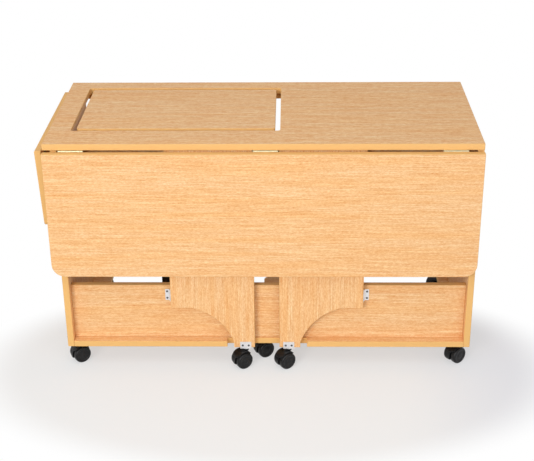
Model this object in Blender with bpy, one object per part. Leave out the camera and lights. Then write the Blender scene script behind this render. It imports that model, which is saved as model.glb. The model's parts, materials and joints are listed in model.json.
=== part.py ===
"""Sewing cabinet on castors: a worktop with a lift platform, a fold-down rear leaf carried by two gate legs,
and a small side leaf carried by two swivel bars.

Units are metres and +Z is up. Left and right are as seen from the rear of the cabinet, where the rear leaf
hangs; +Y runs from the rear towards the person who sews. The finished object stands on z = 0 with its origin
at the middle of its footprint.
"""

from math import acos, atan2, ceil, cos, pi, radians, sin, sqrt, tan

import bmesh
import bpy
from mathutils import Matrix, Vector

# Boards and fits
BOARD = 0.018
EDGE_ROUND = 0.001
FIT = 0.0003
RUNNING_FIT = 0.0006

# Worktop and its opening, measured from the worktop's middle and from its rear edge
WORKTOP_WIDTH = 1.180
WORKTOP_DEPTH = 0.510
WORKTOP_HEIGHT = 0.6965
OPENING_LEFT = 0.061
OPENING_WIDTH = 0.575
OPENING_REAR = 0.101
OPENING_DEPTH = 0.354
OPENING_CORNER = 0.008
PLATFORM_GAP = 0.014

# Carcass
LEFT_OVERHANG = 0.0195
REAR_SETBACK = 0.005
FRONT_SETBACK = 0.015
PANEL_RECESS = 0.025
LOW_PANEL_HEIGHT = 0.171
UPPER_RAIL_HEIGHT = 0.120
FRONT_RAIL_DEPTH = 0.030
FRONT_RAIL_FROM_OPENING = 0.008

# Bottom board: notch for the leg feet, shelf depth, two arms that carry the front castors, a middle tab
FOOT_NOTCH_HALF_WIDTH = 0.115
FOOT_NOTCH_PLAY = 0.0015
SHELF_DEPTH = 0.340
LEFT_ARM_WIDTH = 0.056
RIGHT_ARM_WIDTH = 0.030
ARM_FRONT_SETBACK = 0.005
TAB_WIDTH = 0.120
TAB_LENGTH = 0.058
TAB_OFFSET = -0.016
TAB_CORNER = 0.016

# Leaves and the hinges that carry them
REAR_LEAF_LENGTH = 0.367
REAR_LEAF_CORNER = 0.036
SIDE_LEAF_LENGTH = 0.221
SIDE_LEAF_INSET = 0.013
SIDE_LEAF_CORNER = 0.012
SIDE_LEAF_LEAN = radians(2.4)
REAR_LEAF_GAP = 0.001
REAR_PIN_DROP = 0.0029
SIDE_LEAF_GAP = 0.005
SIDE_PIN_DROP = 0.0047
HINGE_PLATE = 0.0012
HINGE_PIN_RADIUS = 0.0012
HINGE_END_PLAY = 0.0004
LEAF_HINGE_LENGTH = 0.067
LEAF_HINGE_WIDTH = 0.025
SIDE_HINGE_FIXED_WIDTH = 0.013
REAR_HINGE_FROM_END = 0.076
SIDE_HINGE_FROM_END = 0.072

# Gate legs, which stand either side of a line near the middle of the worktop
LEG_MIDDLE = 0.007
LEG_GAP_HALF = 0.0355
LEG_WIDTH = 0.2375
LEG_TOP_PLAY = 0.001
LEG_ARM_STRAIGHT = 0.059
LEG_ARM_HEIGHT = 0.1935
LEG_FOOT_WIDTH = 0.060
LEG_FOOT_STRAIGHT = 0.014
LEG_ARC_RADIUS = 0.163
GATE_PIN_OFFSET = 0.0033
GATE_HINGE_LENGTH = 0.035
GATE_HINGE_WIDTH = 0.014
GATE_HINGE_EDGE_WIDTH = 0.012
GATE_HINGE_BELOW_TOP = 0.030
BRACKET_PLATE = 0.0025
BRACKET_WIDTH = 0.032
BRACKET_HEIGHT = 0.022
LEG_CASTOR_OUT = 0.062

# Twin-wheel castors
WHEEL_RADIUS = 0.025
WHEELS_HALF_WIDTH = 0.0215
WHEEL_INNER_FACE = 0.0055
WHEEL_ROUND = 0.0035
AXLE_RADIUS = 0.003
CASTOR_TRAIL = 0.014
HOOD_CLEARANCE = 0.0015
HOOD_WALL = 0.0025
HOOD_WEB = 0.009
HOOD_HALF_WIDTH = 0.0165
BOSS_RADIUS = 0.0085
BOSS_RISE = 0.0025
SWIVEL_PIN_RADIUS = 0.004
SWIVEL_PIN_LENGTH = 0.0045
NECK_RADIUS = 0.008
NECK_LENGTH = 0.004
CASTOR_PLATE = 0.0042
CASTOR_PLATE_RADIUS = 0.019
REAR_CASTOR_LEFT_IN = 0.038
REAR_CASTOR_RIGHT_IN = 0.025
REAR_CASTOR_DEPTH = 0.048
MIDDLE_CASTOR_DEPTH = 0.0765
FRONT_CASTOR_DEPTH = 0.478

# Swivel bars that hold the raised side leaf
BAR_WIDTH = 0.012
BAR_THICKNESS = 0.0025
BAR_REACH = 0.100
BAR_PIVOT_FROM_HINGE = 0.055
PIVOT_RADIUS = 0.0028
PIVOT_HEAD_RADIUS = 0.005
PIVOT_HEAD = 0.0012

# Lift column, gas spring and platform
COLUMN_WIDTH = 0.152
COLUMN_DEPTH = 0.060
COLUMN_WALL = 0.002
COLUMN_OVERLAP = 0.040
COLUMN_STOP = 0.006
BASE_MARGIN = 0.020
FLANGE_MARGIN = 0.034
FLANGE_PLATE = 0.003
GAS_CYLINDER_RADIUS = 0.011
GAS_CYLINDER_WALL = 0.002
GAS_END_WALL = 0.004
GAS_PISTON = 0.008
GAS_ROD_RADIUS = 0.004

# Facets of round pieces
ROUND_SIDES = 16
WHEEL_SIDES = 20
ARC_TOLERANCE = 0.0002

# Places worked out from the driving dimensions
TOP_UNDERSIDE = WORKTOP_HEIGHT - BOARD
WORKTOP_LEFT = -WORKTOP_WIDTH / 2
WORKTOP_RIGHT = WORKTOP_WIDTH / 2
CARCASS_LEFT = WORKTOP_LEFT + LEFT_OVERHANG
CARCASS_RIGHT = WORKTOP_RIGHT
INSIDE_LEFT = CARCASS_LEFT + BOARD + FIT
INSIDE_RIGHT = CARCASS_RIGHT - BOARD - FIT
CARCASS_FRONT = WORKTOP_DEPTH - FRONT_SETBACK
PANEL_FACE = REAR_SETBACK + PANEL_RECESS
HOOD_TOP = 2 * WHEEL_RADIUS + HOOD_CLEARANCE + HOOD_WALL + BOSS_RISE
NECK_BOTTOM = HOOD_TOP + FIT
NECK_TOP = NECK_BOTTOM + NECK_LENGTH
CARCASS_BOTTOM = NECK_TOP + CASTOR_PLATE + FIT
BOTTOM_BOARD_TOP = CARCASS_BOTTOM + BOARD
CARCASS_TOP = TOP_UNDERSIDE - FIT
PLATFORM_LEFT = WORKTOP_LEFT + OPENING_LEFT + PLATFORM_GAP
PLATFORM_RIGHT = WORKTOP_LEFT + OPENING_LEFT + OPENING_WIDTH - PLATFORM_GAP
PLATFORM_REAR = OPENING_REAR + PLATFORM_GAP
PLATFORM_FRONT = OPENING_REAR + OPENING_DEPTH - PLATFORM_GAP
SIDE_LEAF_WIDTH = WORKTOP_DEPTH - 2 * SIDE_LEAF_INSET
SIDE_HINGE_OUT = SIDE_LEAF_WIDTH / 2 - SIDE_HINGE_FROM_END
LEG_TOP = TOP_UNDERSIDE - LEG_TOP_PLAY
LEG_BOTTOM = NECK_TOP + BRACKET_PLATE + FIT
FOOT_NOTCH_DEPTH = REAR_SETBACK + BOARD + FOOT_NOTCH_PLAY
GATE_PIN_DEPTH = PANEL_FACE - GATE_PIN_OFFSET


def remove_everything():
    for item in list(bpy.data.objects):
        bpy.data.objects.remove(item, do_unlink=True)


def make_finish(name, colour, roughness, metallic=0.0):
    finish = bpy.data.materials.new(name)
    finish.use_nodes = True
    shader = finish.node_tree.nodes["Principled BSDF"]
    shader.inputs["Base Color"].default_value = (*colour, 1.0)
    shader.inputs["Roughness"].default_value = roughness
    shader.inputs["Metallic"].default_value = metallic
    return finish


def make_empty(name, parent, place=(0, 0, 0), turn=(0, 0, 0)):
    """An empty that carries a group of pieces; a moving group's empty lies on its joint's axis."""
    empty = bpy.data.objects.new(name, None)
    bpy.context.scene.collection.objects.link(empty)
    empty.parent = parent
    empty.location = place
    empty.rotation_euler = turn
    return empty


def add_piece(name, mesh, finish, parent, placing=Matrix.Identity(4)):
    """Put a finished mesh into the assembly as one named piece."""
    mesh.name = name
    mesh.materials.clear()
    mesh.materials.append(finish)
    piece = bpy.data.objects.new(name, mesh)
    bpy.context.scene.collection.objects.link(piece)
    piece.parent = parent
    piece.matrix_basis = placing
    return piece


def mesh_of(work):
    bmesh.ops.recalc_face_normals(work, faces=work.faces)
    mesh = bpy.data.meshes.new("shape")
    work.to_mesh(mesh)
    work.free()
    return mesh


def prism(outline, low, high, along="Z"):
    """An outline of (u, v) points extruded along one axis, between two levels."""
    place = {
        "X": lambda u, v: (low, u, v),
        "Y": lambda u, v: (u, low, v),
        "Z": lambda u, v: (u, v, low),
    }[along]
    travel = {"X": (high - low, 0, 0), "Y": (0, high - low, 0), "Z": (0, 0, high - low)}[along]
    work = bmesh.new()
    face = work.faces.new([work.verts.new(place(u, v)) for u, v in outline])
    raised = bmesh.ops.extrude_face_region(work, geom=[face])
    top = [item for item in raised["geom"] if isinstance(item, bmesh.types.BMVert)]
    bmesh.ops.translate(work, verts=top, vec=travel)
    return mesh_of(work)


def rectangle(u0, u1, v0, v1):
    return [(u0, v0), (u1, v0), (u1, v1), (u0, v1)]


def block(x0, x1, y0, y1, z0, z1):
    return prism(rectangle(x0, x1, y0, y1), z0, z1)


def arc_points(centre, radius, start, end):
    """Points on a circle from one angle to another, both ends included, as many as the tolerance needs."""
    steps = ceil(abs(end - start) / (2 * acos(1 - ARC_TOLERANCE / radius)))
    angles = [start + (end - start) * i / steps for i in range(steps + 1)]
    return [(centre[0] + radius * cos(a), centre[1] + radius * sin(a)) for a in angles]


def rounded(corners):
    """Outline through (u, v, radius) corners; a corner with a radius becomes an arc."""
    outline = []
    for i, (u, v, radius) in enumerate(corners):
        if radius == 0:
            outline.append((u, v))
            continue
        corner = Vector((u, v))
        before = (Vector(corners[i - 1][:2]) - corner).normalized()
        after = (Vector(corners[(i + 1) % len(corners)][:2]) - corner).normalized()
        half_angle = before.angle(after) / 2
        centre = corner + (before + after).normalized() * radius / sin(half_angle)
        first = corner + before * radius / tan(half_angle) - centre
        last = corner + after * radius / tan(half_angle) - centre
        start = atan2(first.y, first.x)
        sweep = (atan2(last.y, last.x) - start + pi) % (2 * pi) - pi
        outline += arc_points(centre, radius, start, start + sweep)
    return outline


def turned(profile, sides=ROUND_SIDES, turn=Matrix.Identity(4)):
    """A solid of revolution about Z from (radius, z) points, listed from its lower end to its upper end.

    A flat facet, not an edge, faces -X, and it lies at the stated radius.
    """
    out = 1 / cos(pi / sides)
    work = bmesh.new()
    points = [work.verts.new((-radius * out, 0, z)) for radius, z in profile]
    edges = [work.edges.new(pair) for pair in zip(points, points[1:])]
    bmesh.ops.rotate(work, verts=points, matrix=Matrix.Rotation(pi / sides, 3, "Z"))
    bmesh.ops.spin(work, geom=points + edges, axis=(0, 0, 1), cent=(0, 0, 0), steps=sides, angle=2 * pi)
    bmesh.ops.remove_doubles(work, verts=work.verts, dist=1e-6)
    bmesh.ops.transform(work, verts=work.verts, matrix=turn)
    mesh = mesh_of(work)
    mesh.shade_smooth()
    mesh.set_sharp_from_angle(angle=radians(35))
    return mesh


def rod(radius, low, high, sides=ROUND_SIDES, turn=Matrix.Identity(4)):
    return turned([(0, low), (radius, low), (radius, high), (0, high)], sides, turn)


def combined(base, operation, *tools):
    """A mesh joined with, or cut by, other meshes through exact booleans."""
    solid = bpy.data.objects.new("solid", base)
    bpy.context.scene.collection.objects.link(solid)
    helpers = []
    for mesh in tools:
        helper = bpy.data.objects.new("tool", mesh)
        bpy.context.scene.collection.objects.link(helper)
        step = solid.modifiers.new("step", "BOOLEAN")
        step.operation = operation
        step.solver = "EXACT"
        step.object = helper
        helpers.append(helper)
    graph = bpy.context.evaluated_depsgraph_get()
    result = bpy.data.meshes.new_from_object(solid.evaluated_get(graph))
    for helper in [solid, *helpers]:
        bpy.data.objects.remove(helper, do_unlink=True)
    return result


def eased(piece):
    """Take the sharp arris off the banded edges of a board."""
    bevel = piece.modifiers.new("eased edges", "BEVEL")
    bevel.width = EDGE_ROUND
    bevel.segments = 1
    bevel.limit_method = "ANGLE"
    bevel.angle_limit = radians(40)
    return piece


ALONG_X = Matrix.Rotation(pi / 2, 4, "Y")
ALONG_Y = Matrix.Rotation(-pi / 2, 4, "X")


def axes(x_axis, y_axis, z_axis, place):
    """Placing of a piece whose own X, Y and Z point along the three given directions."""
    return Matrix.Translation(place) @ Matrix((x_axis, y_axis, z_axis)).transposed().to_4x4()


def hinge_meshes(length, fixed_width, swing_width, face):
    """A butt hinge opened flat: its pin on the X axis and both plates just under the plane z = face.

    The fixed plate spreads towards +Y and holds the pin; the swinging plate spreads towards -Y and its single
    middle knuckle turns on the pin.
    """
    barrel = face - RUNNING_FIT
    plate_top = face - FIT
    half = length / 2
    knuckle = length / 6
    slot = knuckle + HINGE_END_PLAY
    clear = barrel + RUNNING_FIT
    fixed_outline = [
        (-half, 0), (-slot, 0), (-slot, clear), (slot, clear), (slot, 0),
        (half, 0), (half, fixed_width), (-half, fixed_width),
    ]
    swing_outline = [
        (-knuckle, 0), (-knuckle, -clear), (-half, -clear), (-half, -swing_width),
        (half, -swing_width), (half, -clear), (knuckle, -clear), (knuckle, 0),
    ]
    ends = [
        (0, -half), (barrel, -half), (barrel, -slot), (HINGE_PIN_RADIUS, -slot),
        (HINGE_PIN_RADIUS, slot), (barrel, slot), (barrel, half), (0, half),
    ]
    fixed = combined(
        prism(fixed_outline, plate_top - HINGE_PLATE, plate_top),
        "UNION",
        turned(ends, turn=ALONG_X),
    )
    swing = combined(
        prism(swing_outline, plate_top - HINGE_PLATE, plate_top),
        "UNION",
        rod(barrel, -knuckle, knuckle, turn=ALONG_X),
    )
    bore = rod(HINGE_PIN_RADIUS + FIT, -half, half, turn=ALONG_X)
    return fixed, combined(swing, "DIFFERENCE", bore)


def build_carcass(root, board):
    """Worktop with its opening, the two sides, the bottom board, the rear panels and the front rail."""
    left = WORKTOP_LEFT + OPENING_LEFT
    right = left + OPENING_WIDTH
    front = OPENING_REAR + OPENING_DEPTH
    top = block(WORKTOP_LEFT, WORKTOP_RIGHT, 0, WORKTOP_DEPTH, TOP_UNDERSIDE, WORKTOP_HEIGHT)
    corner = OPENING_CORNER
    opening = prism(
        rounded([(left, OPENING_REAR, corner), (right, OPENING_REAR, corner),
                 (right, front, corner), (left, front, corner)]),
        TOP_UNDERSIDE - BOARD, WORKTOP_HEIGHT + BOARD,
    )
    eased(add_piece("worktop", combined(top, "DIFFERENCE", opening), board, root))

    for name, outer, inner in (
        ("side_panel_left", CARCASS_LEFT, CARCASS_LEFT + BOARD),
        ("side_panel_right", CARCASS_RIGHT - BOARD, CARCASS_RIGHT),
    ):
        side = block(outer, inner, REAR_SETBACK, CARCASS_FRONT, CARCASS_BOTTOM, CARCASS_TOP)
        eased(add_piece(name, side, board, root))

    notch_left = LEG_MIDDLE - FOOT_NOTCH_HALF_WIDTH
    notch_right = LEG_MIDDLE + FOOT_NOTCH_HALF_WIDTH
    notch = FOOT_NOTCH_DEPTH
    shelf_front = REAR_SETBACK + SHELF_DEPTH
    arm_front = CARCASS_FRONT - ARM_FRONT_SETBACK
    tab_left = LEG_MIDDLE + TAB_OFFSET
    tab_right = tab_left + TAB_WIDTH
    tab_front = shelf_front + TAB_LENGTH
    bottom = rounded([
        (INSIDE_LEFT, REAR_SETBACK, 0), (notch_left, REAR_SETBACK, 0), (notch_left, notch, 0),
        (notch_right, notch, 0), (notch_right, REAR_SETBACK, 0), (INSIDE_RIGHT, REAR_SETBACK, 0),
        (INSIDE_RIGHT, arm_front, 0), (INSIDE_RIGHT - RIGHT_ARM_WIDTH, arm_front, 0),
        (INSIDE_RIGHT - RIGHT_ARM_WIDTH, shelf_front, 0), (tab_right, shelf_front, 0),
        (tab_right, tab_front, TAB_CORNER), (tab_left, tab_front, TAB_CORNER), (tab_left, shelf_front, 0),
        (INSIDE_LEFT + LEFT_ARM_WIDTH, shelf_front, 0), (INSIDE_LEFT + LEFT_ARM_WIDTH, arm_front, 0),
        (INSIDE_LEFT, arm_front, 0),
    ])
    eased(add_piece("bottom_board", prism(bottom, CARCASS_BOTTOM, BOTTOM_BOARD_TOP), board, root))

    low_bottom = BOTTOM_BOARD_TOP + FIT
    rail_rear = front + FRONT_RAIL_FROM_OPENING
    rail_front = rail_rear + FRONT_RAIL_DEPTH
    for name, rear, fore, low, high in (
        ("low_rear_panel", PANEL_FACE, PANEL_FACE + BOARD, low_bottom, low_bottom + LOW_PANEL_HEIGHT),
        ("upper_rear_rail", PANEL_FACE, PANEL_FACE + BOARD, CARCASS_TOP - UPPER_RAIL_HEIGHT, CARCASS_TOP),
        ("front_rail", rail_rear, rail_front, CARCASS_TOP - BOARD, CARCASS_TOP),
    ):
        eased(add_piece(name, block(INSIDE_LEFT, INSIDE_RIGHT, rear, fore, low, high), board, root))


def build_leaf(name, root, pin, turn, lean, gap, drop, width, length, corner, board):
    """A leaf that hangs from its hinge pin, modelled as it lies when raised; returns its pivot."""
    pivot = make_empty(name + "_pivot", root, pin, (pi / 2 + lean, 0, turn))
    near = -gap / 2
    far = near - length
    half = width / 2
    outline = rounded([(-half, near, 0), (-half, far, corner), (half, far, corner), (half, near, 0)])
    eased(add_piece(name, prism(outline, drop, drop + BOARD), board, pivot))
    return pivot


def build_leaves(root, board, steel):
    rear_pin = Vector((0, -REAR_LEAF_GAP / 2, TOP_UNDERSIDE - REAR_PIN_DROP))
    rear = build_leaf(
        "rear_leaf", root, rear_pin, 0, 0, REAR_LEAF_GAP, REAR_PIN_DROP,
        WORKTOP_WIDTH, REAR_LEAF_LENGTH, REAR_LEAF_CORNER, board,
    )
    for place, offset in (
        ("left", WORKTOP_LEFT + REAR_HINGE_FROM_END),
        ("middle", LEG_MIDDLE),
        ("right", WORKTOP_RIGHT - REAR_HINGE_FROM_END),
    ):
        fixed, swing = hinge_meshes(LEAF_HINGE_LENGTH, LEAF_HINGE_WIDTH, LEAF_HINGE_WIDTH, REAR_PIN_DROP)
        shift = Vector((offset, 0, 0))
        add_piece(f"rear_hinge_{place}_fixed", fixed, steel, root, Matrix.Translation(rear_pin + shift))
        add_piece(f"rear_hinge_{place}_swing", swing, steel, rear, Matrix.Translation(shift))

    side_pin_x = WORKTOP_LEFT - SIDE_LEAF_GAP / 2
    side_pin = Vector((side_pin_x, WORKTOP_DEPTH / 2, TOP_UNDERSIDE - SIDE_PIN_DROP))
    quarter = Matrix.Rotation(-pi / 2, 4, "Z")
    side = build_leaf(
        "side_leaf", root, side_pin, -pi / 2, SIDE_LEAF_LEAN, SIDE_LEAF_GAP, SIDE_PIN_DROP,
        SIDE_LEAF_WIDTH, SIDE_LEAF_LENGTH, SIDE_LEAF_CORNER, board,
    )
    for place, offset in (("rear", SIDE_HINGE_OUT), ("front", -SIDE_HINGE_OUT)):
        fixed, swing = hinge_meshes(
            LEAF_HINGE_LENGTH, SIDE_HINGE_FIXED_WIDTH, LEAF_HINGE_WIDTH, SIDE_PIN_DROP
        )
        shift = Vector((offset, 0, 0))
        seat = Matrix.Translation(side_pin) @ quarter @ Matrix.Translation(shift)
        add_piece(f"side_hinge_{place}_fixed", fixed, steel, root, seat)
        add_piece(f"side_hinge_{place}_swing", swing, steel, side, Matrix.Translation(shift))


def leg_outline(side):
    """Gate leg seen from the rear, from its hinge pin: an arm at the hinge and a foot at the free edge."""
    hinge_edge = GATE_PIN_OFFSET
    free_edge = hinge_edge + LEG_WIDTH
    foot_edge = free_edge - LEG_FOOT_WIDTH
    upper = Vector((hinge_edge + LEG_ARM_STRAIGHT, LEG_ARM_HEIGHT))
    lower = Vector((foot_edge, LEG_BOTTOM + LEG_FOOT_STRAIGHT))
    chord = lower - upper
    to_centre = sqrt(LEG_ARC_RADIUS ** 2 - (chord.length / 2) ** 2)
    centre = (upper + lower) / 2 + Vector((chord.y, -chord.x)).normalized() * to_centre
    start = atan2(upper.y - centre.y, upper.x - centre.x)
    end = atan2(lower.y - centre.y, lower.x - centre.x)
    points = [
        (hinge_edge, LEG_TOP), (free_edge, LEG_TOP), (free_edge, LEG_BOTTOM), (foot_edge, LEG_BOTTOM),
        *arc_points(centre, LEG_ARC_RADIUS, end, start), (hinge_edge, LEG_ARM_HEIGHT),
    ]
    return [(-side * u, v) for u, v in points]


def build_gate_legs(root, board, steel, plastic, castor_steel):
    """Two legs that hang on the rear panels by a pair of hinges each and roll on a castor."""
    face = REAR_SETBACK - GATE_PIN_DEPTH
    lower_hinge = BOTTOM_BOARD_TOP + FIT + LOW_PANEL_HEIGHT - GATE_HINGE_BELOW_TOP
    upper_hinge = CARCASS_TOP - UPPER_RAIL_HEIGHT / 2
    for name, side, yaw in (("left", -1, radians(214)), ("right", 1, radians(216))):
        pin_x = LEG_MIDDLE + side * (LEG_GAP_HALF + LEG_WIDTH + GATE_PIN_OFFSET)
        pivot = make_empty(f"gate_leg_{name}_pivot", root, (pin_x, GATE_PIN_DEPTH, 0))
        leg = prism(leg_outline(side), face, face + BOARD, "Y")
        eased(add_piece(f"gate_leg_{name}", leg, board, pivot))

        up = Vector((0, 0, side))
        out = Vector((side, 0, 0))
        inward = Vector((0, 1, 0))
        for level, height in (("lower", lower_hinge), ("upper", upper_hinge)):
            fixed, swing = hinge_meshes(
                GATE_HINGE_LENGTH, GATE_HINGE_WIDTH, GATE_HINGE_EDGE_WIDTH, GATE_PIN_OFFSET
            )
            on_panel = axes(up, out, inward, (pin_x, GATE_PIN_DEPTH, height))
            on_leg = axes(up, inward, -out, (0, 0, height))
            add_piece(f"gate_hinge_{name}_{level}_fixed", fixed, steel, root, on_panel)
            add_piece(f"gate_hinge_{name}_{level}_swing", swing, steel, pivot, on_leg)

        stem = Vector((LEG_MIDDLE + side * LEG_CASTOR_OUT - pin_x, face + BOARD / 2, 0))
        outer = face - FIT - BRACKET_PLATE
        angle = [
            (outer, NECK_TOP), (face + BOARD, NECK_TOP), (face + BOARD, NECK_TOP + BRACKET_PLATE),
            (outer + BRACKET_PLATE, NECK_TOP + BRACKET_PLATE),
            (outer + BRACKET_PLATE, NECK_TOP + BRACKET_HEIGHT), (outer, NECK_TOP + BRACKET_HEIGHT),
        ]
        plate = prism(angle, stem.x - BRACKET_WIDTH / 2, stem.x + BRACKET_WIDTH / 2, "X")
        sunk = NECK_TOP + BRACKET_PLATE / 2
        neck = turned(
            swivel_pin_profile() + [(NECK_RADIUS, sunk), (0, sunk)], turn=Matrix.Translation(stem)
        )
        add_piece(f"castor_leg_{name}_mount", combined(plate, "UNION", neck), castor_steel, pivot)
        build_castor(f"castor_leg_{name}", pivot, stem, yaw, plastic)


def swivel_pin_profile():
    """Lower end of a castor's mount: the pin that the hood turns on, then the neck above it."""
    pin_bottom = NECK_BOTTOM - SWIVEL_PIN_LENGTH
    return [
        (0, pin_bottom), (SWIVEL_PIN_RADIUS, pin_bottom), (SWIVEL_PIN_RADIUS, NECK_BOTTOM),
        (NECK_RADIUS, NECK_BOTTOM),
    ]


def wheels_profile():
    """Two wheels and the axle between them, as (radius, place along the axle)."""
    half = [
        (AXLE_RADIUS, WHEEL_INNER_FACE),
        (WHEEL_RADIUS - WHEEL_ROUND / 2, WHEEL_INNER_FACE),
        (WHEEL_RADIUS, WHEEL_INNER_FACE + WHEEL_ROUND / 2),
        (WHEEL_RADIUS, WHEELS_HALF_WIDTH - WHEEL_ROUND),
        (WHEEL_RADIUS - WHEEL_ROUND / 3, WHEELS_HALF_WIDTH - WHEEL_ROUND / 3),
        (WHEEL_RADIUS - WHEEL_ROUND, WHEELS_HALF_WIDTH),
        (0, WHEELS_HALF_WIDTH),
    ]
    return [(radius, -place) for radius, place in reversed(half)] + half


def hood_mesh():
    """Castor hood: a fender over both wheels, a web between them that holds the axle, and a swivel boss."""
    axle = (CASTOR_TRAIL, WHEEL_RADIUS)
    inner = WHEEL_RADIUS + HOOD_CLEARANCE
    outer = inner + HOOD_WALL
    middle = (inner + outer) / 2
    fender_start = radians(30)
    fender_end = radians(150)
    fender = prism(
        arc_points(axle, outer, fender_start, fender_end) + arc_points(axle, inner, fender_end, fender_start),
        -HOOD_HALF_WIDTH, HOOD_HALF_WIDTH, "Y",
    )
    boss_bottom = 2 * WHEEL_RADIUS + HOOD_CLEARANCE
    keep_in = HOOD_WALL / 2
    below_axle = axle[1] - 3 * AXLE_RADIUS
    web = [
        (axle[0] + 3 * AXLE_RADIUS, below_axle), *arc_points(axle, middle, fender_start, pi / 2),
        (axle[0], boss_bottom + HOOD_WALL),
        (BOSS_RADIUS - keep_in, HOOD_TOP - keep_in), (keep_in - BOSS_RADIUS, HOOD_TOP - keep_in),
        (keep_in - BOSS_RADIUS, axle[1] + BOSS_RADIUS), (axle[0] - 3 * AXLE_RADIUS, below_axle),
    ]
    hood = combined(
        prism(web, -HOOD_WEB / 2, HOOD_WEB / 2, "Y"),
        "UNION",
        fender,
        rod(BOSS_RADIUS, boss_bottom, HOOD_TOP),
    )
    axle_turn = Matrix.Translation((axle[0], 0, axle[1])) @ ALONG_Y
    axle_bore = rod(AXLE_RADIUS + FIT, -HOOD_WEB, HOOD_WEB, turn=axle_turn)
    pin_bottom = NECK_BOTTOM - SWIVEL_PIN_LENGTH
    pin_bore = rod(SWIVEL_PIN_RADIUS + FIT, pin_bottom - FIT, HOOD_TOP + BOSS_RISE)
    return combined(hood, "DIFFERENCE", axle_bore, pin_bore)


def build_castor(name, parent, stem, yaw, plastic):
    """The part of a castor that swivels under its mount, and the pair of wheels that rolls in it."""
    swivel = make_empty(f"{name}_swivel", parent, stem, (0, 0, yaw))
    add_piece(f"{name}_hood", hood_mesh(), plastic, swivel)
    axle = make_empty(f"{name}_axle", swivel, (CASTOR_TRAIL, 0, WHEEL_RADIUS))
    quarter = Matrix.Rotation(-pi / 2, 4, "Z")
    wheels = turned(wheels_profile(), WHEEL_SIDES, ALONG_Y @ quarter)
    add_piece(f"{name}_wheels", wheels, plastic, axle)


def build_fixed_castors(root, plastic, castor_steel):
    """Five castors under the bottom board, each on a round plate."""
    arm_left = INSIDE_LEFT + LEFT_ARM_WIDTH / 2
    arm_right = INSIDE_RIGHT - RIGHT_ARM_WIDTH / 2
    places = (
        ("rear_left", CARCASS_LEFT + REAR_CASTOR_LEFT_IN, REAR_CASTOR_DEPTH, 215),
        ("rear_middle", LEG_MIDDLE, MIDDLE_CASTOR_DEPTH, 212),
        ("rear_right", CARCASS_RIGHT - REAR_CASTOR_RIGHT_IN, REAR_CASTOR_DEPTH, 220),
        ("front_left", arm_left, FRONT_CASTOR_DEPTH, 220),
        ("front_right", arm_right, FRONT_CASTOR_DEPTH, 218),
    )
    plate_top = NECK_TOP + CASTOR_PLATE
    for name, x, y, yaw in places:
        stem = Vector((x, y, 0))
        profile = swivel_pin_profile() + [
            (NECK_RADIUS, NECK_TOP), (CASTOR_PLATE_RADIUS, NECK_TOP), (CASTOR_PLATE_RADIUS, plate_top),
            (0, plate_top),
        ]
        mount = turned(profile)
        add_piece(f"castor_{name}_mount", mount, castor_steel, root, Matrix.Translation(stem))
        build_castor(f"castor_{name}", root, stem, radians(yaw), plastic)


def build_leaf_supports(root, steel):
    """Two flat bars under the left overhang that swing out below the raised side leaf."""
    bar_top = TOP_UNDERSIDE - RUNNING_FIT
    bar_bottom = bar_top - BAR_THICKNESS
    head_top = bar_bottom - FIT
    pivot_x = WORKTOP_LEFT + LEFT_OVERHANG / 2
    for name, side in (("rear", 1), ("front", -1)):
        from_middle = SIDE_HINGE_OUT - BAR_PIVOT_FROM_HINGE
        place = Vector((pivot_x, WORKTOP_DEPTH / 2 - side * from_middle, 0))
        screw = turned([
            (0, head_top - PIVOT_HEAD), (PIVOT_HEAD_RADIUS, head_top - PIVOT_HEAD),
            (PIVOT_HEAD_RADIUS, head_top), (PIVOT_RADIUS, head_top), (PIVOT_RADIUS, TOP_UNDERSIDE - FIT),
            (0, TOP_UNDERSIDE - FIT),
        ])
        add_piece(f"leaf_support_{name}_pivot", screw, steel, root, Matrix.Translation(place))

        swing = make_empty(f"leaf_support_{name}_swing", root, place)
        half = BAR_WIDTH / 2
        outline = arc_points((0, 0), half, pi, 2 * pi) + arc_points((0, BAR_REACH), half, 0, pi)
        bar = prism([(u, side * v) for u, v in outline], bar_bottom, bar_top)
        bore = rod(PIVOT_RADIUS + FIT, bar_bottom - BAR_WIDTH, bar_top + BAR_WIDTH)
        add_piece(f"leaf_support_{name}", combined(bar, "DIFFERENCE", bore), steel, swing)


def tube(width, depth, wall, low, high):
    outside = block(-width / 2, width / 2, -depth / 2, depth / 2, low, high)
    inside = block(
        wall - width / 2, width / 2 - wall, wall - depth / 2, depth / 2 - wall, low - wall, high + wall
    )
    return combined(outside, "DIFFERENCE", inside)


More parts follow.
